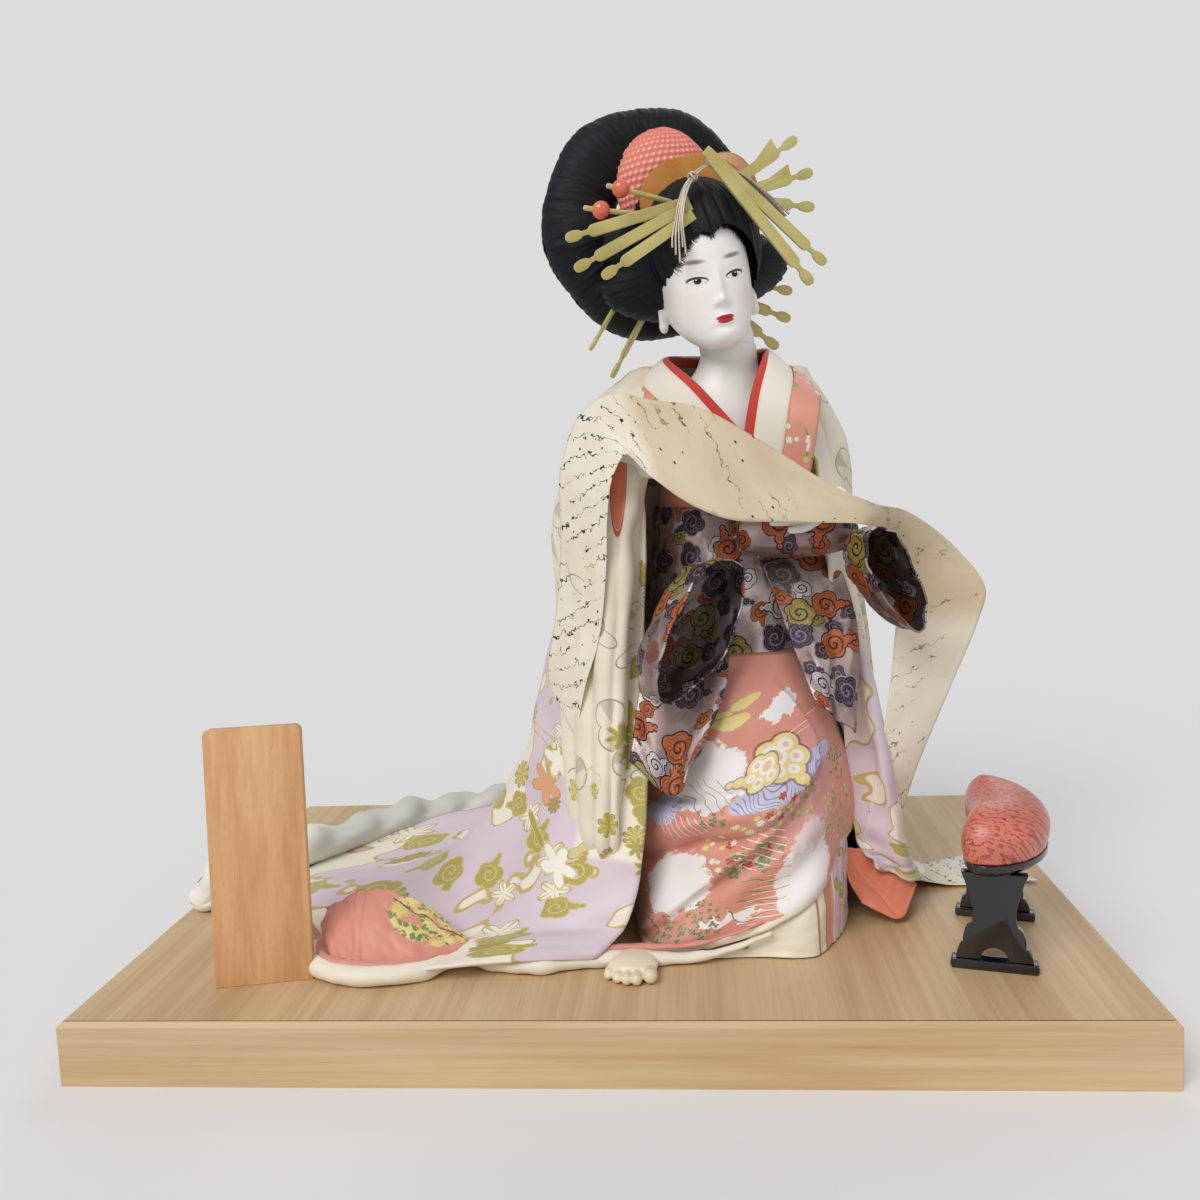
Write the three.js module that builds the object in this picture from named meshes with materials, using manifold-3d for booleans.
// Display doll in court dress reading a long letter, on a veneered stand with a name board and an armrest.
// Millimetres, +Z up, origin at the bottom centre of the stand,
// +X to the viewer's right, +Y away from the viewer.
import * as THREE from "three";
import { mergeVertices } from "three/addons/utils/BufferGeometryUtils.js";
import Module from "manifold-3d";

const wasm = await Module();
wasm.setup();

// Stand
const STAND_WIDTH = 600;
const STAND_DEPTH = 410;
const STAND_HEIGHT = 37;
const STAND_WALL = 9;
const STAND_CHAMFER = 3;
const SEAM = 0.3;

// Name board
const BOARD_WIDTH = 56;
const BOARD_HEIGHT = 150;
const BOARD_THICKNESS = 9;
const BOARD_CORNER = 4;
const BOARD_LEAN = 6;
const BOARD_YAW = 12;
const BOARD_STAY_DEPTH = 16;
const BOARD_STAY_HEIGHT = 24;
const BOARD_ROOM = 2;
const BOARD_EDGE = 99;
const BOARD_FRONT = 56;

// Armrest
const REST_LENGTH = 104;
const REST_WIDTH = 51;
const REST_BOARD = 7;
const REST_BOARD_TOP = 64;
const REST_FOOT_WIDTH = 46;
const REST_FOOT_HEIGHT = 6;
const REST_FOOT_DEPTH = 9;
const REST_LEG_THICKNESS = 7;
const REST_LEG_WAIST = 15;
const REST_LEG_INSET = 20;
const REST_TENON = 3;
const CUSHION_HEIGHT = 30;
const CUSHION_WAIST = 9;
const REST_X = 233;
const REST_FRONT = 101;
const REST_YAW = -15;

// Figure
const CLOTH = 3;
const ROBE_CLOTH = 5;
const PADDED_CORNER = 7;
const FOLD_DEPTH = 3.5;
const FOLD_WAVES = 5;
const FOLD_SLANT = 0.03;
const FLOOR_SQUARE = 0.3;
const PLEAT_DEPTH = 5;
const PLEAT_WAVES = 5;
const GAP = 0.4;
const SHOULDER_TOP = 349;
const OBI_TOP = 266;
const OBI_BOTTOM = 176;
const OBI_THICKNESS = 3;
const OBI_CLOTH = 2.6;
const LEFT_LOOP_WIDTH = 36;
const RIGHT_LOOP_WIDTH = 38;
const ROD_RADIUS = 4;
const ROD_X = 80;
const ROD_TOP = 210;
const CORE_BOTTOM = 83;
const NECK_RADIUS = 18;
const NECK_SEAM = 335;
const PEG_RADIUS = 7;
const PEG_LENGTH = 24;
const PEG_CLEARANCE = 0.5;
const COLLAR_THICKNESS = 1.6;
const PAPER = 1;

// Head, in its own frame: +Z up the face, -Y the way it looks
const HEAD_YAW = 20;
const HEAD_LEAN = -11;
const HEAD_NOD = 4;
const FACE_TURN = -7;
const HEAD_X = 81;
const HEAD_Y = -14;
const HEAD_Z = 348;
const PIVOT_X = 88;
const PIVOT_Y = -12;
const WIG_GAP = 0.4;
const FAN_RADIUS = 52;
const FAN_TUBE = 25;
const PIN_THICKNESS = 2.4;
const PIN_WIDTH = 7.5;
const PIN_BURIED = 9;
const BEAD_RADIUS = 5.6;

const v = (x, y, z) => new THREE.Vector3(x, y, z);
const rad = THREE.MathUtils.degToRad;

// Solid helpers

function toSolid(geometry) {
  const plain = geometry.clone();
  plain.deleteAttribute("normal");
  plain.deleteAttribute("uv");
  const merged = mergeVertices(plain, 1e-4);
  return new wasm.Manifold(
    new wasm.Mesh({
      numProp: 3,
      vertProperties: new Float32Array(merged.attributes.position.array),
      triVerts: new Uint32Array(merged.index.array),
    }),
  );
}

function toGeometry(solid) {
  const mesh = solid.getMesh();
  const points = new Float32Array(mesh.numVert * 3);
  for (let i = 0; i < mesh.numVert; i++) {
    points.set(mesh.vertProperties.subarray(i * mesh.numProp, i * mesh.numProp + 3), i * 3);
  }
  return new THREE.BufferGeometry()
    .setAttribute("position", new THREE.BufferAttribute(points, 3))
    .setIndex(new THREE.BufferAttribute(mesh.triVerts, 1));
}

// The largest body of a solid, without the crumbs that a cut can leave.
function mainBody(solid) {
  const bodies = solid.decompose();
  return bodies.reduce((best, b) => (b.volume() > best.volume() ? b : best), bodies[0]);
}

function cut(solid, ...tools) {
  return mainBody(tools.reduce((rest, tool) => rest.subtract(tool), solid));
}

function join(...solids) {
  return solids.reduce((sum, solid) => sum.add(solid));
}

// Faces of a closed grid turned outwards, whichever way its rows run.
function outward(points, faces) {
  let volume = 0;
  for (const [a, b, c] of faces) {
    volume += points[a].dot(points[b].clone().cross(points[c]));
  }
  const index = faces.flatMap(([a, b, c]) => (volume < 0 ? [a, c, b] : [a, b, c]));
  const geometry = new THREE.BufferGeometry().setFromPoints(points);
  geometry.setIndex(index);
  return toSolid(geometry);
}

// A solid through closed rings of points, with both ends capped.
function loft(rings) {
  const sides = rings[0].length;
  const points = rings.flat();
  const faces = [];
  for (let r = 0; r + 1 < rings.length; r++) {
    for (let i = 0; i < sides; i++) {
      const a = r * sides + i;
      const b = r * sides + ((i + 1) % sides);
      faces.push([a, b, a + sides], [b, b + sides, a + sides]);
    }
  }
  const first = points.length;
  for (const ring of [rings[0], rings[rings.length - 1]]) {
    points.push(ring.reduce((sum, p) => sum.add(p), v(0, 0, 0)).divideScalar(sides));
  }
  const last = (rings.length - 1) * sides;
  for (let i = 0; i < sides; i++) {
    const next = (i + 1) % sides;
    faces.push([first, next, i], [first + 1, last + i, last + next]);
  }
  return outward(points, faces);
}

// A sheet with thickness over a grid of points, lifted off the grid, grown on every side.
function sheet(grid, thickness, lift = 0, grow = 0) {
  const rows = grid.length;
  const columns = grid[0].length;
  const at = (r, c) => grid[Math.max(0, Math.min(rows - 1, r))][Math.max(0, Math.min(columns - 1, c))];
  const edgeSide = (k, count) => (k === 0 ? -1 : k === count - 1 ? 1 : 0);
  const front = [];
  const back = [];
  for (let r = 0; r < rows; r++) {
    for (let c = 0; c < columns; c++) {
      const along = at(r + 1, c).clone().sub(at(r - 1, c));
      const across = at(r, c + 1).clone().sub(at(r, c - 1));
      const normal = along.clone().cross(across).normalize();
      const p = at(r, c).clone();
      p.addScaledVector(along.normalize(), grow * edgeSide(r, rows));
      p.addScaledVector(across.normalize(), grow * edgeSide(c, columns));
      front.push(p.clone().addScaledVector(normal, thickness / 2 + grow + lift));
      back.push(p.clone().addScaledVector(normal, -thickness / 2 - grow + lift));
    }
  }
  const points = [...front, ...back];
  const shift = front.length;
  const faces = [];
  const quad = (a, b, c, d) => faces.push([a, b, c], [a, c, d]);
  for (let r = 0; r + 1 < rows; r++) {
    for (let c = 0; c + 1 < columns; c++) {
      const a = r * columns + c;
      quad(a, a + 1, a + columns + 1, a + columns);
      quad(a + shift, a + columns + shift, a + columns + 1 + shift, a + 1 + shift);
    }
  }
  const edge = [];
  for (let c = 0; c + 1 < columns; c++) edge.push(c);
  for (let r = 0; r + 1 < rows; r++) edge.push(r * columns + columns - 1);
  for (let c = columns - 1; c > 0; c--) edge.push((rows - 1) * columns + c);
  for (let r = rows - 1; r > 0; r--) edge.push(r * columns);
  edge.forEach((a, i) => {
    const b = edge[(i + 1) % edge.length];
    quad(a, a + shift, b + shift, b);
  });
  return outward(points, faces);
}

// A smooth grid through a few rows of control points, over a share of each row.
function patch(rows, alongSteps, acrossSteps, from = 0, to = 1) {
  const curves = rows.map((row) => new THREE.CatmullRomCurve3(row, false, "centripetal"));
  const grid = [];
  for (let i = 0; i <= alongSteps; i++) grid.push([]);
  for (let j = 0; j <= acrossSteps; j++) {
    const column = new THREE.CatmullRomCurve3(
      curves.map((curve) => curve.getPoint(from + ((to - from) * j) / acrossSteps)),
      false,
      "centripetal",
    );
    for (let i = 0; i <= alongSteps; i++) grid[i].push(column.getPoint(i / alongSteps));
  }
  return grid;
}

// Pleats across a grid, growing in depth along its columns.
function pleat(grid, waves, depth, from, to) {
  const last = grid.length - 1;
  const steps = grid[0].length - 1;
  return grid.map((line, i) =>
    line.map((p, j) => {
      const along = grid[Math.min(i + 1, last)][j].clone().sub(grid[Math.max(i - 1, 0)][j]);
      const down = line[Math.min(j + 1, steps)].clone().sub(line[Math.max(j - 1, 0)]);
      const share = from + ((to - from) * j) / steps;
      const swell = depth * share * Math.sin((2 * Math.PI * waves * i) / last);
      return p.clone().addScaledVector(along.cross(down).normalize(), swell);
    }),
  );
}

// Slanting folds of the kimono, deepest at the floor and gone at the waist
const foldDepth = (z) => FOLD_DEPTH * THREE.MathUtils.clamp((OBI_BOTTOM - 10 - z) / 120, 0, 1);

// Rings are round at the waist and squarer towards the floor.
const squared = (share, z) => {
  const low = THREE.MathUtils.clamp((OBI_BOTTOM - z) / OBI_BOTTOM, 0, 1);
  return Math.sign(share) * Math.abs(share) ** (1 - FLOOR_SQUARE * low);
};

// A level ring with its own reach to each of the four sides of the centre.
function reachRing(z, left, right, front, back, sides, grow) {
  const cx = (left + right) / 2;
  const points = [];
  for (let i = 0; i < sides; i++) {
    const a = (2 * Math.PI * i) / sides;
    const spread = grow + foldDepth(z) * Math.sin(FOLD_WAVES * a + z * FOLD_SLANT);
    const reachX = (right - left) / 2 + spread;
    const reachY = (Math.sin(a) < 0 ? -front : back) + spread;
    points.push(v(cx + reachX * squared(Math.cos(a), z), reachY * squared(Math.sin(a), z), z));
  }
  return points;
}

// Rings at even steps between key heights [z, left, right, front, back], smoothed.
function reachRings(stations, from, to, steps, sides, grow) {
  const widths = new THREE.CatmullRomCurve3(stations.map(([z, l, r]) => v(z, l, r)), false, "centripetal");
  const depths = new THREE.CatmullRomCurve3(
    stations.map(([z, , , f, b]) => v(z, f, b)),
    false,
    "centripetal",
  );
  const sample = (curve, z) => {
    let low = 0;
    let high = 1;
    for (let k = 0; k < 30; k++) {
      const mid = (low + high) / 2;
      if (curve.getPoint(mid).x < z) low = mid;
      else high = mid;
    }
    return curve.getPoint((low + high) / 2);
  };
  const rings = [];
  for (let i = 0; i <= steps; i++) {
    const z = from + ((to - from) * i) / steps;
    const w = sample(widths, z);
    const d = sample(depths, z);
    rings.push(reachRing(z, w.y, w.z, d.y, d.z, sides, grow));
  }
  return rings;
}

// An oval bag through sections [z, centre x, centre y, half length, half thickness],
// turned by an angle.
function bag(sections, turn, sides, steps, grow = 0) {
  const curve = (pick) => new THREE.CatmullRomCurve3(sections.map(pick), false, "centripetal");
  const centres = curve(([z, x, y]) => v(x, y, z));
  const halves = curve(([z, , , a, b]) => v(a, b, z));
  const rings = [];
  for (let i = 0; i <= steps; i++) {
    const c = centres.getPoint(i / steps);
    const h = halves.getPoint(i / steps);
    const ring = [];
    for (let k = 0; k < sides; k++) {
      const a = (2 * Math.PI * k) / sides;
      const long = (h.x + grow) * Math.cos(a);
      const thick = (h.y + grow) * Math.sin(a);
      ring.push(
        v(
          c.x + thick * Math.cos(turn) - long * Math.sin(turn),
          c.y + thick * Math.sin(turn) + long * Math.cos(turn),
          c.z,
        ),
      );
    }
    rings.push(ring);
  }
  return loft(rings);
}

// A tube of changing radius along a curve, flattened and lifted where it lies on the floor.
function roll(curve, radiusAt, steps, sides, flatten = 1, liftAt = () => 0) {
  const rings = [];
  for (let i = 0; i <= steps; i++) {
    const t = i / steps;
    const centre = curve.getPoint(t);
    const way = curve.getTangent(t);
    const side = v(-way.y, way.x, 0).normalize();
    const up = way.clone().cross(side).normalize();
    const r = radiusAt(t);
    centre.z += liftAt(t);
    const ring = [];
    for (let k = 0; k < sides; k++) {
      const a = (2 * Math.PI * k) / sides;
      ring.push(
        centre
          .clone()
          .addScaledVector(side, r * Math.cos(a))
          .addScaledVector(up, r * flatten * Math.sin(a)),
      );
    }
    rings.push(ring);
  }
  return loft(rings);
}

function box(x, y, z, sx, sy, sz) {
  return toSolid(new THREE.BoxGeometry(sx, sy, sz).translate(x, y, z));
}

function extrude(shape, depth, matrix, curveSegments = 8) {
  const geometry = new THREE.ExtrudeGeometry(shape, { depth, bevelEnabled: false, curveSegments });
  if (matrix) geometry.applyMatrix4(matrix);
  return toSolid(geometry);
}

function ball(x, y, z, rx, ry, rz, across = 24, down = 16) {
  const sphere = new THREE.SphereGeometry(1, across, down).rotateX(Math.PI / 2);
  return toSolid(sphere.scale(rx, ry, rz).translate(x, y, z));
}

function cylinder(radius, height, segments = 20) {
  return new THREE.CylinderGeometry(radius, radius, height, segments).rotateX(Math.PI / 2);
}

// Materials

const paint = (color, roughness, metalness = 0) =>
  new THREE.MeshStandardMaterial({ color, roughness, metalness });
const PAINTS = {
  veneer: paint(0xcbb08a, 0.55),
  cedar: paint(0xc48a55, 0.6),
  lacquer: paint(0x0b0b0d, 0.12),
  brocade: paint(0xe0836f, 0.45),
  steel: paint(0x8c8f92, 0.4, 0.9),
  straw: paint(0xb9a06a, 0.9),
  whiteShell: paint(0xf3f1ec, 0.35),
  redCrepe: paint(0xc23a2a, 0.7),
  whiteCrepe: paint(0xf1ece1, 0.75),
  coral: paint(0xd98b74, 0.6),
  kimono: paint(0xdf9d8c, 0.6),
  underRobe: paint(0xeee3c9, 0.65),
  robe: paint(0xe6dbd6, 0.6),
  greyCrepe: paint(0xc9c7bb, 0.7),
  orangeLining: paint(0xe0835c, 0.45),
  obi: paint(0xb39a93, 0.35, 0.3),
  paper: paint(0xddceb0, 0.8),
  hair: paint(0x0c1016, 0.4),
  crepe: paint(0xf08c80, 0.7),
  shellAmber: paint(0xc9954a, 0.25),
  shellYellow: paint(0xc3b36a, 0.25),
  silverCord: paint(0xbfb4a4, 0.45, 0.4),
};

const doll = new THREE.Group();
const figure = new THREE.Group();
const headGroup = new THREE.Group();
figure.position.z = STAND_HEIGHT;
doll.add(figure);

function addMesh(group, name, solid, material) {
  const mesh = new THREE.Mesh(toGeometry(solid), material);
  mesh.name = name;
  group.add(mesh);
  return mesh;
}

// Each later piece keeps clear of the grown copies of what it is laid over.
const worn = [];
function wear(name, shape, material, filled = shape) {
  addMesh(figure, name, cut(shape(0), ...worn), material);
  worn.push(filled(GAP));
}

const placed = (solid, matrix) => solid.transform(matrix.elements);

// Stand: a mitred box of veneered board, chamfered along its top edges

function chamferedPlan(reach, corner) {
  const w = STAND_WIDTH / 2 - reach;
  const d = STAND_DEPTH / 2 - reach;
  return [v(-w, -d, corner), v(w, -d, corner), v(w, d, corner), v(-w, d, corner)];
}

function standTop() {
  const underside = STAND_HEIGHT - STAND_WALL;
  return loft([
    chamferedPlan(STAND_CHAMFER + STAND_WALL, underside),
    chamferedPlan(STAND_CHAMFER, STAND_HEIGHT),
  ]);
}

// One rail: its inner face is mitred to the top panel and to the next rails.
function standRail(length, reach) {
  const outer = length / 2;
  const top = STAND_HEIGHT - STAND_CHAMFER;
  const profile = [
    [0, 0],
    [0, top],
    [STAND_CHAMFER - SEAM, STAND_HEIGHT - SEAM],
    [STAND_WALL, STAND_HEIGHT - STAND_WALL + STAND_CHAMFER - SEAM * 2],
    [STAND_WALL, 0],
  ];
  const end = (sign) =>
    profile.map(([depth, z]) => v(sign * (outer - depth - SEAM / 2), -reach + depth, z));
  return loft([end(-1), end(1)]);
}

const railTurns = [
  ["stand_rail_front", 0, STAND_WIDTH, STAND_DEPTH / 2],
  ["stand_rail_right", 90, STAND_DEPTH, STAND_WIDTH / 2],
  ["stand_rail_back", 180, STAND_WIDTH, STAND_DEPTH / 2],
  ["stand_rail_left", 270, STAND_DEPTH, STAND_WIDTH / 2],
];
for (const [name, turn, length, reach] of railTurns) {
  addMesh(doll, name, standRail(length, reach), PAINTS.veneer).rotation.z = rad(turn);
}
const rodHole = toSolid(
  cylinder(ROD_RADIUS + SEAM, STAND_WALL * 4).translate(ROD_X, 0, STAND_HEIGHT),
);
addMesh(doll, "stand_top_panel", standTop().subtract(rodHole), PAINTS.veneer);

// Name board: bare wood with rounded corners, leaning back against a small glued stay

const boardGroup = new THREE.Group();
boardGroup.position.set(BOARD_EDGE - STAND_WIDTH / 2, BOARD_FRONT - STAND_DEPTH / 2, 0);
boardGroup.rotation.z = rad(BOARD_YAW);
figure.add(boardGroup);

function nameBoard() {
  const w = BOARD_WIDTH / 2;
  const r = BOARD_CORNER;
  const outline = new THREE.Shape();
  outline.moveTo(-w, -BOARD_THICKNESS);
  outline.lineTo(w, -BOARD_THICKNESS);
  outline.lineTo(w, BOARD_HEIGHT - r);
  outline.absarc(w - r, BOARD_HEIGHT - r, r, 0, Math.PI / 2);
  outline.absarc(-w + r, BOARD_HEIGHT - r, r, Math.PI / 2, Math.PI);
  const upright = new THREE.Matrix4().makeRotationX(Math.PI / 2);
  const lean = new THREE.Matrix4().makeRotationX(-rad(BOARD_LEAN));
  const board = extrude(outline, BOARD_THICKNESS, lean.multiply(upright), 3);
  const slope = Math.tan(rad(BOARD_LEAN));
  const stay = new THREE.Shape([
    new THREE.Vector2(-BOARD_THICKNESS / 2, -1),
    new THREE.Vector2(-BOARD_THICKNESS / 2 + BOARD_STAY_HEIGHT * slope, BOARD_STAY_HEIGHT),
    new THREE.Vector2(BOARD_STAY_HEIGHT * slope + 1, BOARD_STAY_HEIGHT),
    new THREE.Vector2(BOARD_STAY_DEPTH, 3),
    new THREE.Vector2(BOARD_STAY_DEPTH, -1),
  ]);
  const sideways = new THREE.Matrix4().set(0, 0, 1, -w / 2, 1, 0, 0, 0, 0, 1, 0, 0, 0, 0, 0, 1);
  const below = box(0, 0, -BOARD_HEIGHT / 2, BOARD_WIDTH * 2, BOARD_HEIGHT, BOARD_HEIGHT);
  return join(board, extrude(stay, w, sideways)).subtract(below);
}
addMesh(boardGroup, "name_board", nameBoard(), PAINTS.cedar);

// Room that the cloth leaves round the board, so that it lifts off freely
boardGroup.updateMatrix();
const boardRoomDepth = BOARD_THICKNESS + BOARD_STAY_DEPTH;
const boardRoom = box(
  0,
  boardRoomDepth / 2 - BOARD_THICKNESS,
  BOARD_HEIGHT / 2,
  BOARD_WIDTH + 2 * BOARD_ROOM,
  boardRoomDepth + 2 * BOARD_ROOM,
  BOARD_HEIGHT,
);
worn.push(placed(boardRoom, boardGroup.matrix));

// Armrest: a bean-shaped brocade cushion on a lacquered board, two cut-out legs and two foot bars

const restGroup = new THREE.Group();
restGroup.position.set(REST_X, REST_FRONT - STAND_DEPTH / 2, 0);
restGroup.rotation.z = rad(REST_YAW);
figure.add(restGroup);

// Bean outline at one height, drawn in by an inset; its hollow side faces -X.
function beanRing(z, inset, sides = 28) {
  const half = REST_LENGTH / 2 - inset;
  const wide = REST_WIDTH / 2 - inset;
  const points = [];
  for (let i = 0; i < sides; i++) {
    const a = (2 * Math.PI * i) / sides;
    const y = half * Math.sin(a);
    const bow = CUSHION_WAIST * (0.5 - (y / half) ** 2);
    const pinch = Math.cos(a) < 0 ? CUSHION_WAIST * (1 - Math.abs(Math.sin(a))) : 0;
    const share = (1.2 * wide) / REST_WIDTH;
    points.push(v(bow + wide * Math.cos(a) + pinch * share, y, z));
  }
  return points;
}

const restBoardLow = REST_BOARD_TOP - REST_BOARD;
const legTop = restBoardLow;
const legOffset = REST_LENGTH / 2 - REST_LEG_INSET + REST_LEG_THICKNESS;

// Half outline of a leg: broad under the board, drawn in to a waist, then two scallops to the foot.
function legOutline() {
  const foot = REST_FOOT_HEIGHT;
  const rise = legTop - foot;
  const half = REST_FOOT_WIDTH / 2 - 2;
  const waist = REST_LEG_WAIST / 2 + 4;
  const shape = new THREE.Shape();
  shape.moveTo(-half, foot);
  shape.lineTo(-half * 0.36, foot);
  shape.absarc(0, foot, half * 0.36, Math.PI, 0, true);
  shape.lineTo(half, foot);
  shape.quadraticCurveTo(half - 1, foot + rise * 0.14, half * 0.8, foot + rise * 0.16);
  shape.quadraticCurveTo(half * 0.86, foot + rise * 0.32, half * 0.62, foot + rise * 0.38);
  shape.quadraticCurveTo(waist, foot + rise * 0.44, waist, foot + rise * 0.56);
  shape.quadraticCurveTo(waist + 2, foot + rise * 0.8, half * 0.86, legTop);
  shape.lineTo(-half * 0.86, legTop);
  shape.quadraticCurveTo(-waist - 2, foot + rise * 0.8, -waist, foot + rise * 0.56);
  shape.quadraticCurveTo(-waist, foot + rise * 0.44, -half * 0.62, foot + rise * 0.38);
  shape.quadraticCurveTo(-half * 0.86, foot + rise * 0.32, -half * 0.8, foot + rise * 0.16);
  shape.quadraticCurveTo(-half + 1, foot + rise * 0.14, -half, foot);
  return shape;
}

const tenonWidth = REST_LEG_WAIST;
const tenon = (y, z, grow) =>
  box(0, y, z, tenonWidth + 2 * grow, REST_LEG_THICKNESS - 3 + 2 * grow, 2 * (REST_TENON + grow));

function restLeg(y) {
  const stand = new THREE.Matrix4().makeRotationX(Math.PI / 2);
  stand.setPosition(0, y + REST_LEG_THICKNESS / 2, 0);
  const panel = extrude(legOutline(), REST_LEG_THICKNESS, stand, 4);
  return join(panel, tenon(y, legTop, 0));
}

function footBar(y) {
  const w = REST_FOOT_WIDTH / 2;
  const shape = new THREE.Shape();
  shape.moveTo(-w, 0);
  shape.lineTo(w, 0);
  shape.quadraticCurveTo(w + 2, REST_FOOT_HEIGHT / 2, w, REST_FOOT_HEIGHT);
  shape.lineTo(w - 3, REST_FOOT_HEIGHT - SEAM);
  shape.lineTo(-w + 3, REST_FOOT_HEIGHT - SEAM);
  shape.lineTo(-w, REST_FOOT_HEIGHT);
  shape.quadraticCurveTo(-w - 2, REST_FOOT_HEIGHT / 2, -w, 0);
  const stand = new THREE.Matrix4().makeRotationX(Math.PI / 2);
  stand.setPosition(0, y + REST_FOOT_DEPTH / 2, 0);
  return extrude(shape, REST_FOOT_DEPTH, stand, 3);
}

for (const [end, sign] of [["front", -1], ["back", 1]]) {
  addMesh(restGroup, "armrest_leg_" + end, restLeg(sign * legOffset), PAINTS.lacquer);
  addMesh(restGroup, "armrest_foot_" + end, footBar(sign * legOffset), PAINTS.lacquer);
}
const boardLoft = loft([
  beanRing(restBoardLow + SEAM, 3),
  beanRing(restBoardLow + REST_BOARD * 0.45, 0),
  beanRing(REST_BOARD_TOP, 0),
]);
const mortises = [-1, 1].map((sign) => tenon(sign * legOffset, legTop, SEAM));
addMesh(restGroup, "armrest_board", boardLoft.subtract(mortises[0]).subtract(mortises[1]), PAINTS.lacquer);
const cushionProfile = [
  [0, 3],
  [0.12, 1],
  [0.4, 0],
  [0.66, 1.5],
  [0.84, 5],
  [0.95, 10],
  [1, 15],
];
const cushion = loft(
  cushionProfile.map(([share, inset]) => beanRing(REST_BOARD_TOP + SEAM + CUSHION_HEIGHT * share, inset)),
);
addMesh(restGroup, "armrest_cushion", cushion, PAINTS.brocade);

// Figure: cloth over a straw core, with heights above the stand's top

// Reach of the kimono at each height: [height, left, right, front, back]
const KIMONO = [
  [GAP, 8, 148, -134, 50],
  [8, 9, 150, -132, 51],
  [29, 11, 155, -125, 53],
  [68, 16, 163, -117, 55],
  [109, 20, 156, -108, 52],
  [142, 23, 147, -98, 48],
  [172, 26, 140, -80, 44],
  [213, 33, 141, -56, 38],
  [263, 37, 141, -46, 36],
  [303, 42, 138, -40, 34],
  [335, 50, 126, -32, 28],
  [SHOULDER_TOP, 62, 112, -24, 20],
];
const kimonoLoft = (from, to, steps, grow) => loft(reachRings(KIMONO, from, to, steps, 24, grow));

function ovalRing(cx, cy, z, rx, ry, sides = 24) {
  const points = [];
  for (let i = 0; i < sides; i++) {
    const a = (2 * Math.PI * i) / sides;
    points.push(v(cx + rx * Math.cos(a), cy + ry * Math.sin(a), z));
  }
  return points;
}

// Supporting rod from the stand up into the straw core
function rod(grow) {
  const low = -STAND_WALL - grow;
  const tall = ROD_TOP + grow - low;
  return toSolid(cylinder(ROD_RADIUS + grow, tall, 16).translate(ROD_X, 0, low + tall / 2));
}

// Chest plate with the socket that the neck peg turns in
function bust(grow) {
  return loft([
    ovalRing(86, -16, 289 - grow, 22 + grow, 18 + grow),
    ovalRing(87, -17, 308, 30 + grow, 22 + grow),
    ovalRing(86, -16, 325, 34 + grow, 22 + grow),
    ovalRing(84, -13, 341, 32 + grow, 22 + grow),
    ovalRing(83, -11, 351, 28 + grow, 21 + grow),
    ovalRing(84, -11, 360 + grow, 23 + grow, 20 + grow),
  ]);
}

const socketRadius = NECK_RADIUS + PEG_CLEARANCE;
const neckSocket = loft([
  ovalRing(PIVOT_X, PIVOT_Y, NECK_SEAM - SEAM, socketRadius, socketRadius, 20),
  ovalRing(PIVOT_X, PIVOT_Y, 347, socketRadius, socketRadius, 20),
  ovalRing(PIVOT_X, PIVOT_Y, 373, socketRadius + 6, socketRadius + 6, 20),
]);
const pegHole = toSolid(
  cylinder(PEG_RADIUS + PEG_CLEARANCE, 2 * PEG_LENGTH, 24).translate(PIVOT_X, PIVOT_Y, NECK_SEAM),
);

wear("support_rod", rod, PAINTS.steel);
const floorSlab = box(0, 0, -STAND_DEPTH / 2 + SEAM, 2 * STAND_WIDTH, 2 * STAND_DEPTH, STAND_DEPTH);
worn.push(floorSlab);
wear("bust", (grow) => cut(bust(grow), neckSocket, pegHole), PAINTS.whiteShell);

// Kimono: one shell from floor to shoulders, open at the throat
const throat = extrude(
  new THREE.Shape([
    new THREE.Vector2(91, 313),
    new THREE.Vector2(118, 363),
    new THREE.Vector2(112, 383),
    new THREE.Vector2(40, 383),
    new THREE.Vector2(42, 363),
  ]),
  90,
  new THREE.Matrix4().makeRotationX(Math.PI / 2).setPosition(0, 8, 0),
);
const neckHole = loft([ovalRing(80, -5, 329, 27, 21), ovalRing(80, -5, 373, 30, 24)]);
const kimonoFloor = GAP;
const kimonoBody = (grow) => kimonoLoft(kimonoFloor, SHOULDER_TOP, 10, grow);
const cavity = join(kimonoBody(-CLOTH), box(70, -20, kimonoFloor, 60, 80, 6));
const core = loft(reachRings(KIMONO, CORE_BOTTOM, NECK_SEAM, 7, 12, -CLOTH - 2 * GAP - 1));
const coreSolid = cut(core, rod(GAP), bust(GAP));
wear("kimono", () => cut(kimonoBody(0), cavity, throat, neckHole), PAINTS.kimono, kimonoBody);
addMesh(figure, "body_core", coreSolid.intersect(kimonoBody(-CLOTH - GAP)), PAINTS.straw);

// Obi: a broad band over the kimono
const obiShell = (grow) =>
  kimonoLoft(OBI_BOTTOM - grow, OBI_TOP + grow, 4, GAP + OBI_THICKNESS + grow);
wear("obi_band", obiShell, PAINTS.obi);

// The under robes show below the kimono's front edge, at the right of the hem
const underWedge = extrude(
  new THREE.Shape([
    new THREE.Vector2(104, -17),
    new THREE.Vector2(180, -17),
    new THREE.Vector2(180, 59),
    new THREE.Vector2(156, 49),
    new THREE.Vector2(128, 21),
  ]),
  130,
  new THREE.Matrix4().makeRotationX(Math.PI / 2).setPosition(0, -16, 0),
);
const underShell = (grow) =>
  kimonoLoft(kimonoFloor, 89, 6, GAP + CLOTH + grow).intersect(underWedge);
wear("under_layers", underShell, PAINTS.underRobe);

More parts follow.
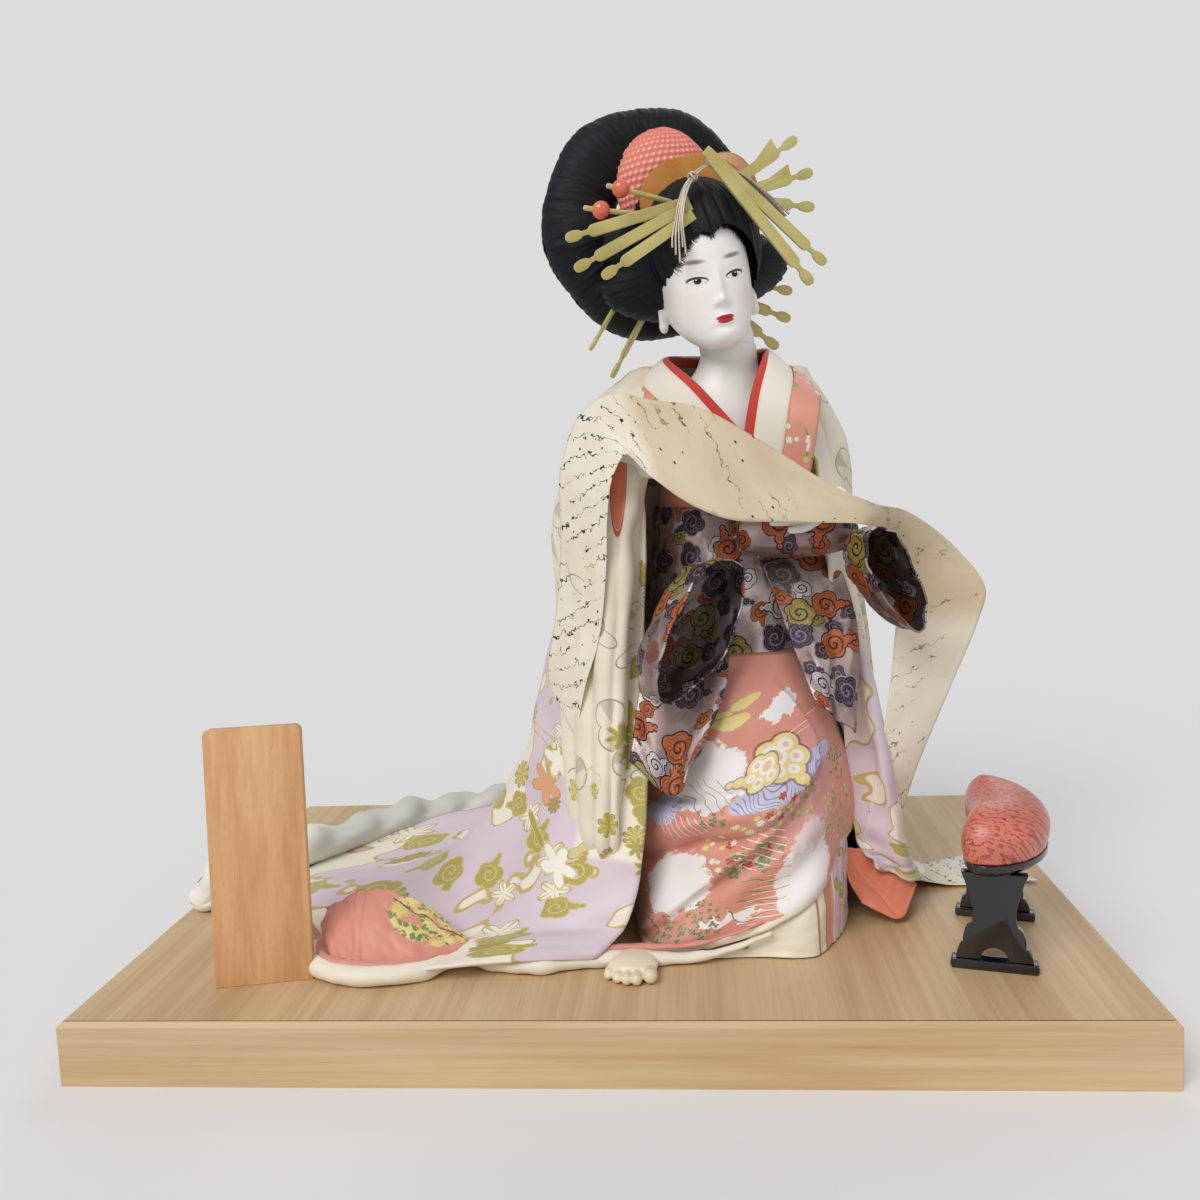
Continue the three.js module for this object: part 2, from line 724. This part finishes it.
// Collars: bands laid round the neck, each from one front edge round the back to the other.
// Each station is a point on the neck line with the way the cloth runs from it.
const NECK_LINE = [
  [v(80, -52, 263), v(1, 0, -0.1)],
  [v(90, -50, 293), v(1, 0, -0.15)],
  [v(98, -46, 335), v(0.95, -0.1, -0.3)],
  [v(105, -32, 361), v(0.8, 0.1, -0.6)],
  [v(106, -4, 371), v(0.6, 0.5, -0.6)],
  [v(90, 15, 367), v(0, 0.85, -0.5)],
  [v(66, 4, 369), v(-0.5, 0.6, -0.6)],
  [v(50, -20, 365), v(-0.75, 0.1, -0.65)],
  [v(67, -41, 344), v(-0.7, -0.1, -0.7)],
  [v(92, -49, 313), v(-0.65, 0, -0.75)],
  [v(108, -51, 293), v(-0.65, 0, -0.75)],
];

function collarBand(from, to, lift, grow = 0) {
  const rail = (part, reach) =>
    part.map(([p, way]) => p.clone().addScaledVector(way.clone().normalize(), reach));
  const half = (part) => {
    const rails = [from, (from + to) / 2, to].map((reach) => rail(part, reach));
    return sheet(patch(rails, 1, 12), COLLAR_THICKNESS, lift, grow);
  };
  return join(half(NECK_LINE.slice(0, 6)), half(NECK_LINE.slice(5)));
}
const collarStep = COLLAR_THICKNESS + GAP;
wear("red_collar", (grow) => collarBand(0, 9, 0, grow), PAINTS.redCrepe);
wear("white_collar", (grow) => collarBand(9.5, 26, collarStep, grow), PAINTS.whiteCrepe);
wear("robe_collar", (grow) => collarBand(26.5, 42, 2 * collarStep, grow), PAINTS.coral);

// Letter: one long strip of paper, from its end beside the left sleeve up over the left hand,
// across to the right hand, then down to the floor. Stations are its two long edges.
const LETTER = [
  [v(-38, -42, 151), v(-17, -86, 126)],
  [v(-38, -40, 165), v(-9, -90, 159)],
  [v(-34, -40, 189), v(0, -92, 189)],
  [v(-28, -42, 234), v(6, -94, 234)],
  [v(-25, -46, 263), v(9, -95, 263)],
  [v(-23, -48, 295), v(14, -97, 289)],
  [v(-10, -56, 327), v(22, -99, 301)],
  [v(14, -78, 338), v(36, -101, 287)],
  [v(38, -92, 332), v(56, -102, 271)],
  [v(66, -95, 326), v(80, -103, 260)],
  [v(102, -95, 305), v(110, -102, 257)],
  [v(143, -94, 277), v(143, -97, 255)],
  [v(166, -92, 266), v(162, -93, 253)],
  [v(190, -76, 259), v(176, -68, 243)],
  [v(222, -60, 235), v(186, -56, 221)],
  [v(241, -54, 209), v(188, -53, 201)],
  [v(238, -50, 189), v(186, -52, 185)],
  [v(219, -48, 140), v(180, -58, 139)],
  [v(195, -48, 81), v(168, -60, 75)],
  [v(186, -40, 39), v(160, -56, 37)],
  [v(196, -24, 13), v(164, -38, 12)],
  [v(222, -18, 2.6), v(196, 16, 2.6)],
  [v(262, -12, 2), v(226, 30, 2)],
  [v(288, -10, 2), v(250, 44, 2)],
];
function letter(grow) {
  const mid = LETTER.map(([a, b]) => a.clone().lerp(b, 0.5));
  const rails = [LETTER.map(([a]) => a), mid, LETTER.map(([, b]) => b)];
  return sheet(patch(rails, 2, 64), PAPER, 0, grow);
}
wear("letter", letter, PAINTS.paper);

// Hands: fingers along +Y, palm down, thumb towards +X
function hand(grow, bend) {
  const palm = loft(
    [
      [-16, 6.5, 5, 0],
      [-6, 7, 5, 0],
      [3, 9, 4.6, 0],
      [10, 9.6, 4, -0.4],
      [13, 9, 3, -0.8],
    ].map(([y, rx, rz, z]) =>
      ovalRing(0, z, 0, rx + grow, rz + grow, 12).map((p) => v(p.x, y, p.y)),
    ),
  );
  const finger = (x, length) => {
    const curve = new THREE.CatmullRomCurve3([
      v(x, 9, 0),
      v(x * 1.06, 9 + length * 0.5, -bend * 0.25),
      v(x * 1.04, 9 + length, -bend),
    ]);
    return roll(curve, (t) => 2.5 - 0.7 * t + grow, 3, 6);
  };
  const thumbCurve = new THREE.CatmullRomCurve3([v(6, -5, -1), v(11, 4, -3), v(12, 13, -5)]);
  const thumb = roll(thumbCurve, (t) => 3 - 0.9 * t + grow, 3, 6);
  return join(palm, finger(-6.9, 13), finger(-2.3, 17), finger(2.4, 18), finger(7, 15), thumb);
}
const leftPlace = new THREE.Matrix4()
  .makeRotationFromEuler(new THREE.Euler(0, rad(80), rad(-110), "ZYX"))
  .setPosition(27, -70, 300);
const rightPlace = new THREE.Matrix4()
  .makeRotationFromEuler(new THREE.Euler(0, rad(90), rad(90), "ZYX"))
  .setPosition(131, -81, 263);
// Forearm from the wrist back into the sleeve
const forearm = (points, grow) => roll(new THREE.CatmullRomCurve3(points), () => 6 + grow, 4, 10);
const leftForearm = [v(15, -67, 300), v(7, -58, 299), v(0, -44, 296)];
const rightForearm = [v(144, -80, 263), v(152, -66, 265), v(153, -40, 270)];
wear(
  "hand_left",
  (grow) => join(placed(hand(grow, 5), leftPlace), forearm(leftForearm, grow)),
  PAINTS.whiteShell,
);
wear(
  "hand_right",
  (grow) => join(placed(hand(grow, 6), rightPlace), forearm(rightForearm, grow)),
  PAINTS.whiteShell,
);

// Obi knot, loops and tails in front

// A tube of cloth: a closed outline in the plane of two directions, swept along a third.
function clothTube(outline, centre, across, along, length, thickness, grow) {
  const count = 22;
  const curve = new THREE.CatmullRomCurve3(outline.map(([a, z]) => v(a, z, 0)), true);
  const plan = curve.getPoints(count).slice(0, count);
  const offset = (reach) =>
    plan.map((p, i) => {
      const before = plan[(i + count - 1) % count];
      const after = plan[(i + 1) % count];
      const way = after.clone().sub(before).normalize();
      return v(p.x - way.y * reach, p.y + way.x * reach, 0);
    });
  const prism = (points, from, to) =>
    loft(
      [from, to].map((reach) =>
        points.map((p) =>
          centre
            .clone()
            .addScaledVector(across, p.x)
            .addScaledVector(along, reach)
            .add(v(0, 0, p.y)),
        ),
      ),
    );
  const outer = prism(offset(-grow), -length - grow, grow);
  return grow > 0 ? outer : outer.subtract(prism(offset(thickness), -length - 9, 9));
}
const LEFT_LOOP = [
  [4, 39],
  [-21, 12],
  [-37, -22],
  [-33, -38],
  [-16, -35],
  [12, -17],
  [28, 18],
  [27, 38],
];
const RIGHT_LOOP = [
  [-19, 36],
  [-23, 18],
  [-13, -2],
  [14, -27],
  [20, -12],
  [8, 16],
  [-4, 35],
];
const leftLoop = (grow) =>
  clothTube(LEFT_LOOP, v(66, -120, 196), v(0.8, 0.6, 0), v(0.6, -0.8, 0), LEFT_LOOP_WIDTH, OBI_CLOTH, grow);
const rightLoop = (grow) =>
  clothTube(
    RIGHT_LOOP,
    v(180, -102, 215),
    v(0.9, 0.44, 0),
    v(0.44, -0.9, 0),
    RIGHT_LOOP_WIDTH,
    OBI_CLOTH,
    grow,
  );

function knot(grow) {
  const section = [
    [-37, 6, 5],
    [-33, 12, 9],
    [-18, 15, 12],
    [4, 16, 13],
    [24, 14, 12],
    [33, 11, 9],
    [37, 5, 5],
  ];
  return loft(
    section.map(([x, rz, ry]) =>
      ovalRing(0, 0, 0, ry + grow, rz + grow, 18).map((p) => v(123 + x, -63 + p.x, 249 + p.y)),
    ),
  );
}
wear("obi_knot", knot, PAINTS.obi);
wear("obi_loop_left", leftLoop, PAINTS.obi);
wear("obi_loop_right", rightLoop, PAINTS.obi);

function tail(rails, grow) {
  return sheet(patch(rails, 6, 12), OBI_CLOTH, 0, grow);
}
const leftTail = [
  [v(46, -34, 225), v(32, -66, 195), v(24, -88, 161), v(17, -106, 116)],
  [v(66, -50, 227), v(56, -76, 195), v(50, -98, 159), v(43, -116, 97)],
  [v(86, -55, 229), v(80, -80, 195), v(77, -100, 161), v(59, -116, 122)],
];
const rightTail = [
  [v(102, -54, 231), v(112, -66, 203), v(120, -78, 178), v(133, -86, 144)],
  [v(128, -46, 232), v(136, -62, 203), v(140, -76, 177), v(144, -84, 134)],
  [v(150, -34, 233), v(158, -54, 203), v(160, -70, 175), v(156, -80, 124)],
];
wear("obi_tail_left", (grow) => tail(leftTail, grow), PAINTS.obi);
wear("obi_tail_right", (grow) => tail(rightTail, grow), PAINTS.obi);

// Sleeves: padded bags hanging from the shoulders
const SLEEVE_LEFT = [
  [358, 32, -2, 16, 11],
  [338, 17, -8, 30, 18],
  [313, 8, -18, 46, 21],
  [283, 1, -26, 55, 22],
  [253, -5, -31, 58, 22],
  [203, -6, -42, 54, 19],
  [153, -8, -58, 46, 16],
  [103, -8, -80, 38, 14],
  [68, -7, -90, 30, 12],
  [53, -6, -92, 18, 6],
];
const SLEEVE_RIGHT = [
  [355, 132, 8, 12, 8],
  [335, 138, 6, 24, 15],
  [308, 146, 1, 33, 18],
  [269, 150, -6, 37, 17],
  [233, 153, -8, 33, 15],
  [183, 160, -12, 30, 13],
  [133, 165, -16, 28, 11],
  [98, 166, -18, 20, 7],
];
wear("sleeve_left", (grow) => bag(SLEEVE_LEFT, rad(24), 16, 12, grow), PAINTS.underRobe);
wear("sleeve_right", (grow) => bag(SLEEVE_RIGHT, rad(-15), 16, 11, grow), PAINTS.underRobe);

// Padded hems on the floor
const HEM_ROLL = [
  v(-286, -48, 0),
  v(-276, -2, 0),
  v(-240, 54, 0),
  v(-196, 112, 0),
  v(-150, 150, 0),
  v(-90, 172, 0),
  v(0, 178, 0),
  v(80, 166, 0),
  v(150, 122, 0),
  v(190, 62, 0),
];
const hemRadius = (t) => Math.min(9 + 140 * t, 19.5 - 6 * t) + 1.2 * Math.sin(40 * t);
// A padded hem of an oval section resting on the floor.
function floorHem(points, radiusAt, flatten, steps, sides, grow) {
  const lift = (t) => radiusAt(t) * flatten + GAP;
  return roll(new THREE.CatmullRomCurve3(points), (t) => radiusAt(t) + grow, steps, sides, flatten, lift);
}
const hemRoll = (grow) => floorHem(HEM_ROLL, hemRadius, 0.7, 30, 9, grow);
wear("train_hem_roll", hemRoll, PAINTS.greyCrepe);

const WHITE_HEM = [
  v(-178, -122, 0),
  v(-166, -150, 0),
  v(-140, -161, 0),
  v(-108, -154, 0),
  v(-86, -134, 0),
  v(-66, -141, 0),
  v(-40, -146, 0),
  v(-12, -138, 0),
  v(20, -136, 0),
  v(56, -132, 0),
];
const whiteHem = (grow) => floorHem(WHITE_HEM, (t) => 7.5 - 2 * t, 0.85, 28, 8, grow);
wear("white_hem", whiteHem, PAINTS.whiteCrepe);

// Robe: each row runs from the shoulder to the hem, starting at the front edge on the left
const ROBE = [
  [
    v(44, -36, 351), v(33, -52, 303), v(30, -66, 253), v(26, -76, 178),
    v(27, -110, 93), v(14, -130, 25), v(-5, -141, 7),
  ],
  [
    v(30, -10, 355), v(8, -30, 303), v(0, -34, 253), v(-14, -50, 178),
    v(-30, -70, 88), v(-60, -105, 21), v(-120, -155, 7),
  ],
  [
    v(24, 8, 355), v(-10, 0, 303), v(-14, 0, 253), v(-38, 0, 178),
    v(-66, -5, 88), v(-110, -40, 27), v(-190, -95, 7),
  ],
  [
    v(40, 26, 353), v(10, 34, 303), v(6, 36, 253), v(-10, 44, 178),
    v(-40, 60, 83), v(-122, 40, 19), v(-240, 18, 7),
  ],
  [
    v(60, 32, 353), v(45, 44, 303), v(45, 48, 253), v(38, 60, 178),
    v(20, 90, 83), v(-60, 122, 21), v(-150, 148, 7),
  ],
  [
    v(92, 34, 355), v(92, 46, 303), v(92, 50, 253), v(95, 66, 178),
    v(95, 92, 83), v(80, 140, 18), v(60, 185, 7),
  ],
  [
    v(118, 28, 353), v(132, 38, 303), v(134, 42, 253), v(142, 52, 178),
    v(152, 74, 83), v(165, 105, 18), v(180, 135, 7),
  ],
  [
    v(128, 4, 355), v(150, 6, 303), v(154, 6, 253), v(162, 6, 178),
    v(172, 12, 83), v(185, 25, 18), v(205, 40, 7),
  ],
  [
    v(124, -24, 351), v(146, -32, 303), v(152, -36, 253), v(160, -40, 178),
    v(166, -44, 83), v(178, -50, 23), v(200, -48, 7),
  ],
];
const ROBE_SPLIT = 0.66;
function robeShare(steps, from, to, grow) {
  const grid = patch(ROBE, 24, steps, from, to);
  return sheet(pleat(grid, PLEAT_WAVES, PLEAT_DEPTH, from, to), ROBE_CLOTH, 0, grow);
}
const robeBody = (grow) => robeShare(8, 0, ROBE_SPLIT, grow);
const robeTrain = (grow) => robeShare(6, ROBE_SPLIT, 1, grow);
wear("robe_body", robeBody, PAINTS.robe);
wear("robe_train", robeTrain, PAINTS.robe);

// Turned-back corners of lining at the hem
const orangeCorner = [
  [v(150, -66, 46), v(152, -70, 24), v(152, -74, 4)],
  [v(160, -62, 44), v(170, -68, 26), v(182, -74, 4)],
  [v(171, -50, 42), v(188, -56, 24), v(208, -52, 4)],
];
const trainLining = (grow) => sheet(patch(orangeCorner, 6, 8), CLOTH, 0, grow);
wear("train_lining_corner", trainLining, PAINTS.orangeLining);

const robeCorner = [
  [v(-162, -146, 12), v(-134, -154, 12), v(-108, -149, 12), v(-72, -130, 12)],
  [v(-172, -128, 26), v(-138, -136, 30), v(-108, -134, 29), v(-74, -120, 22)],
  [v(-176, -112, 33), v(-146, -112, 38), v(-112, -112, 38), v(-76, -106, 32)],
];
const robeLining = (grow) => sheet(patch(robeCorner, 6, 12), PADDED_CORNER, 0, grow);
wear("robe_lining_corner", robeLining, PAINTS.coral);

// Foot below the hem: sections [y, centre x, half width, height], then toes [x, y, half width]
const FOOT = [
  [-130, 17, 11, 4.4],
  [-138, 17, 13, 5],
  [-147, 17, 14.5, 4.8],
  [-155, 16.5, 12.5, 3.8],
];
const TOES = [
  [3.4, -151, 2.9],
  [8.6, -155.5, 3],
  [14, -158, 3.1],
  [19.6, -158.5, 3.2],
  [27.4, -156, 4.1],
];
function foot(grow) {
  const sole = loft(
    FOOT.map(([y, x, rx, rz]) =>
      ovalRing(0, 0, 0, rx + grow, rz + grow, 12).map((p) =>
        v(x + p.x, y, kimonoFloor + Math.max(rz + p.y, 0)),
      ),
    ),
  );
  const toes = TOES.map(([x, y, r]) =>
    ball(x, y, kimonoFloor + r, r + grow, 6.5 + grow, r + grow, 8, 6),
  );
  return join(sole, ...toes);
}
wear("foot", foot, PAINTS.whiteShell);

// Head and hair, in the head's own frame

const headMatrix = new THREE.Matrix4()
  .makeRotationFromEuler(new THREE.Euler(rad(HEAD_NOD), rad(HEAD_LEAN), rad(HEAD_YAW), "YZX"))
  .setPosition(HEAD_X, HEAD_Y, HEAD_Z);
headGroup.applyMatrix4(headMatrix);
figure.add(headGroup);

const headWorn = [];
function wearHead(name, shape, material, filled = shape) {
  addMesh(headGroup, name, cut(shape(0), ...headWorn), material);
  headWorn.push(filled(WIG_GAP));
}

// Rings of the head: [height, half width, front, back]
const HEAD_RINGS = [
  [19, 7, -33, -18],
  [22, 13, -37, -8],
  [28, 19, -39, 4],
  [36, 24, -40, 16],
  [46, 28, -40, 26],
  [58, 30, -40, 33],
  [70, 31, -40, 36],
  [82, 31, -39, 37],
  [94, 29, -35, 35],
  [104, 24, -27, 28],
  [111, 15, -15, 18],
  [114, 5, -4, 6],
];
const bump = (x, z, cx, cz, wide, tall) =>
  Math.exp(-(((x - cx) / wide) ** 2) - ((z - cz) / tall) ** 2);

// How far the face stands out over the plain egg: nose, lips, chin and hollow eye sockets.
function faceRelief(x, z) {
  const bridge = 2.4 * bump(x, z, 0, 60, 3.4, 9);
  const tip = 3.6 * bump(x, z, 0, 50, 4.2, 3.6);
  const lips = 1.6 * bump(x, z, 0, 38, 6.5, 3.2);
  const chin = 1 * bump(x, z, 0, 26, 8, 4);
  const sockets = -1.5 * (bump(x, z, -12, 64, 8, 5) + bump(x, z, 12, 64, 8, 5));
  return bridge + tip + lips + chin + sockets;
}

function headLoft(grow) {
  const sides = 24;
  const curve = (pick) => new THREE.CatmullRomCurve3(HEAD_RINGS.map(pick), false, "centripetal");
  const widths = curve(([z, w]) => v(z, w, 0));
  const depths = curve(([z, , f, b]) => v(z, f, b));
  const rings = [];
  for (let i = 0; i <= 18; i++) {
    const w = widths.getPoint(i / 18);
    const d = depths.getPoint(i / 18);
    const middle = (d.y + d.z) / 2;
    const ring = [];
    for (let k = 0; k < sides; k++) {
      const a = (2 * Math.PI * (k + 0.5)) / sides;
      const x = (w.y + grow) * Math.cos(a);
      const relief = Math.sin(a) < -0.3 ? faceRelief(x, w.x) : 0;
      const y = middle + ((d.z - d.y) / 2 + grow + relief) * Math.sin(a);
      ring.push(v(x, y, w.x + (grow * (i - 9)) / 9));
    }
    rings.push(ring);
  }
  return loft(rings);
}

const toHead = headMatrix.clone().invert();
const neck = (grow) =>
  placed(
    loft([
      ovalRing(PIVOT_X, PIVOT_Y, NECK_SEAM - grow, NECK_RADIUS + grow, NECK_RADIUS + grow, 20),
      ovalRing(PIVOT_X, PIVOT_Y, 347, NECK_RADIUS + grow, NECK_RADIUS + grow, 20),
      ovalRing(PIVOT_X - 1, PIVOT_Y, 361, NECK_RADIUS - 1 + grow, NECK_RADIUS - 1 + grow, 20),
      ovalRing(PIVOT_X - 3, PIVOT_Y + 1, 379, NECK_RADIUS + grow, NECK_RADIUS + 1 + grow, 20),
      ovalRing(PIVOT_X - 5, PIVOT_Y + 2, 393, NECK_RADIUS - 3, NECK_RADIUS - 3, 20),
    ]),
    toHead,
  );
const peg = placed(
  toSolid(
    cylinder(PEG_RADIUS, PEG_LENGTH, 24).translate(PIVOT_X, PIVOT_Y, NECK_SEAM - PEG_LENGTH / 2 + 4),
  ),
  toHead,
);
const ears = (grow) =>
  join(...[-30, 30].map((x) => ball(x, 1, 52, 3 + grow, 6 + grow, 10 + grow, 8, 6)));
const faceTurn = new THREE.Matrix4().makeRotationZ(rad(FACE_TURN));
const skull = (grow) => placed(join(headLoft(grow), ears(grow)), faceTurn);
const headSolid = (grow) => join(skull(grow), neck(grow));
wearHead("head", (grow) => join(headSolid(grow), peg), PAINTS.whiteShell);

// Hair ornaments, each a flat bar with a drawn-in neck and a rounded ear-pick tip.
// Each has its tip, the place where it enters the hair and the way its width lies.
const PINS = {
  pin_left_upper_1: [v(-91, -24, 102), v(-19, -30, 109), v(0, 0, 1)],
  pin_left_upper_2: [v(-90, -26, 83), v(-19, -32, 105), v(0, 0, 1)],
  pin_left_upper_3: [v(-75, -30, 75), v(-19, -34, 98), v(0, 0, 1)],
  pin_left_lower_1: [v(-77, 22, 37), v(-53, 18, 63), v(1, 0, 1)],
  pin_left_lower_2: [v(-65, 26, 17), v(-33, 18, 56), v(1, 0, 1)],
  pin_right_flag_1: [v(75, -20, 139), v(37, -16, 123), v(0, 0, 1)],
  pin_right_flag_2: [v(82, -20, 117), v(39, -16, 113), v(0, 0, 1)],
  pin_right_flat: [v(79, -20, 95), v(47, -16, 104), v(0, 0, 1)],
  pin_right_cross_1: [v(71, -36, 57), v(11, -34, 131), v(1, 0, 1)],
  pin_right_cross_2: [v(57, -40, 46), v(11, -36, 126), v(1, 0, 1)],
  pin_right_lower_1: [v(68, 10, 48), v(43, 10, 57), v(0, 0, 1)],
  pin_right_lower_2: [v(63, 10, 30), v(37, 12, 45), v(0, 0, 1)],
  pin_right_lower_3: [v(51, 12, 13), v(24, 20, 46), v(1, 0, 1)],
};

function pinShape(length, flag) {
  const h = PIN_WIDTH / 2;
  const n = 1.5;
  const drop = 3.4;
  const shape = new THREE.Shape();
  shape.moveTo(0, 0);
  shape.quadraticCurveTo(0, drop, 5, drop);
  shape.quadraticCurveTo(9, drop, 11, n);
  shape.lineTo(15, n);
  if (flag) {
    shape.lineTo(15, 2.4 * h);
    shape.lineTo(30, h);
  }
  shape.quadraticCurveTo(16, h, 19, h);
  shape.lineTo(length, h * 0.9);
  shape.lineTo(length, -h * 0.9);
  shape.lineTo(19, -h);
  shape.quadraticCurveTo(16, -h, 15, -n);
  shape.lineTo(11, -n);
  shape.quadraticCurveTo(9, -drop, 5, -drop);
  shape.quadraticCurveTo(0, -drop, 0, 0);
  return shape;
}

function pin(tip, root, wide, flag, grow) {
  const way = root.clone().sub(tip).normalize();
  const flat = way.clone().cross(wide).normalize();
  const across = flat.clone().cross(way).normalize();
  const length = root.distanceTo(tip) + PIN_BURIED;
  const thick = PIN_THICKNESS + 2 * grow;
  const matrix = new THREE.Matrix4().makeBasis(way, across, flat).setPosition(tip);
  if (grow > 0) {
    const room = box(length / 2, 0, 0, length + 2 * grow, PIN_WIDTH + 2 * grow, thick);
    return placed(room, matrix);
  }
  const bar = extrude(pinShape(length, flag), PIN_THICKNESS, null, 3);
  return placed(bar.translate([0, 0, -PIN_THICKNESS / 2]), matrix);
}

const BEADS = {
  pin_bead_1: [v(-55, -16, 130), v(-47, -16, 127), v(-12, -20, 111)],
  pin_bead_2: [v(-73, -18, 119), v(-63, -18, 116), v(-33, -20, 108)],
};
function beadPin(tip, bead, root, grow) {
  const way = root.clone().sub(tip).normalize();
  const end = root.clone().addScaledVector(way, PIN_BURIED);
  const bar = roll(new THREE.CatmullRomCurve3([tip, bead, end]), () => 1.6 + grow, 4, 6);
  const r = BEAD_RADIUS + grow;
  return join(bar, ball(bead.x, bead.y, bead.z, r, r, r, 12, 8));
}

for (const [name, [tip, root, wide]] of Object.entries(PINS)) {
  const flag = name.includes("flag");
  wearHead(name, (grow) => pin(tip, root, wide, flag, grow), PAINTS.shellYellow);
}
for (const [name, [tip, bead, root]] of Object.entries(BEADS)) {
  wearHead(name, (grow) => beadPin(tip, bead, root, grow), PAINTS.coral);
}

// Silver cord across the front of the hair
const CORD = [
  v(54, -26, 92),
  v(40, -30, 108),
  v(24, -32, 122),
  v(6, -32, 129),
  v(-10, -34, 120),
  v(-22, -38, 98),
  v(-28, -41, 74),
];
const cordCurve = new THREE.CatmullRomCurve3(CORD);
wearHead("hair_cord", (grow) => roll(cordCurve, () => 2.4 + grow, 18, 8), PAINTS.silverCord);

// Combs: arched plates in front of and beside the ribbon
function comb(halfWidth, height, thick, place, grow) {
  const shape = new THREE.Shape();
  const w = halfWidth + grow;
  const h = height + grow;
  shape.moveTo(-w, -14 - grow);
  shape.lineTo(w, -14 - grow);
  shape.lineTo(w, 0);
  shape.bezierCurveTo(w, h * 0.7, w * 0.55, h, 0, h);
  shape.bezierCurveTo(-w * 0.55, h, -w, h * 0.7, -w, 0);
  const depth = thick + 2 * grow;
  const upright = new THREE.Matrix4().makeRotationX(Math.PI / 2).setPosition(0, depth / 2, 0);
  return extrude(shape, depth, place.clone().multiply(upright), 10);
}
const frontComb = new THREE.Matrix4().makeRotationX(rad(-12)).setPosition(6, -5, 112);
const backComb = new THREE.Matrix4()
  .makeRotationFromEuler(new THREE.Euler(rad(-12), 0, rad(-30)))
  .setPosition(38, 20, 118);
wearHead("comb_front", (grow) => comb(38, 32, 5, frontComb, grow), PAINTS.shellAmber);
wearHead("comb_back", (grow) => comb(22, 30, 4, backComb, grow), PAINTS.shellAmber);

// Crepe ribbon filling the ring of hair
const ribbon = (grow) => ball(-1, 29, 136, 33 + grow, 22 + grow, 33 + grow, 20, 12);
wearHead("crepe_ribbon", ribbon, PAINTS.crepe);

// Great ring of hair behind the ribbon
function hairRing(grow) {
  const rings = [];
  const around = 30;
  const section = 10;
  const points = [];
  for (let i = 0; i < around; i++) {
    const a = (2 * Math.PI * i) / around;
    const tube = FAN_TUBE * (1 + 0.05 * Math.cos(6 * a)) + grow;
    for (let k = 0; k < section; k++) {
      const b = (2 * Math.PI * k) / section;
      const reach = FAN_RADIUS + tube * Math.cos(b);
      points.push(v(-8 + reach * Math.cos(a), 45 + tube * 0.8 * Math.sin(b), 112 + reach * Math.sin(a)));
    }
  }
  for (let i = 0; i < around; i++) {
    for (let k = 0; k < section; k++) {
      const next = (i + 1) % around;
      const side = (k + 1) % section;
      const a = i * section + k;
      const b = next * section + k;
      const c = next * section + side;
      const d = i * section + side;
      rings.push([a, b, c], [a, c, d]);
    }
  }
  return outward(points, rings);
}
wearHead("hair_loops", hairRing, PAINTS.hair);

// Swept-up hair over the skull, with wide wings beside the cheeks
function hairCap(grow) {
  const crown = ball(3, 2, 84, 40 + grow, 41 + grow, 46 + grow, 16, 9);
  const wings = ball(3, 12, 70, 66 + grow, 26 + grow, 28 + grow, 14, 7);
  const topknot = ball(4, 16, 112, 34 + grow, 30 + grow, 24 + grow, 10, 6);
  const backHair = ball(-8, 42, 92, 32 + grow, 10 + grow, 28 + grow, 10, 5);
  return join(crown, wings, topknot, backHair);
}
const faceWindow = extrude(
  new THREE.Shape().absellipse(-1, 50, 28, 34, 0, 2 * Math.PI),
  60,
  new THREE.Matrix4().makeRotationX(Math.PI / 2).setPosition(0, -4, 0),
  16,
);
wearHead("hair_cap", (grow) => hairCap(grow).subtract(faceWindow), PAINTS.hair);

export default doll;
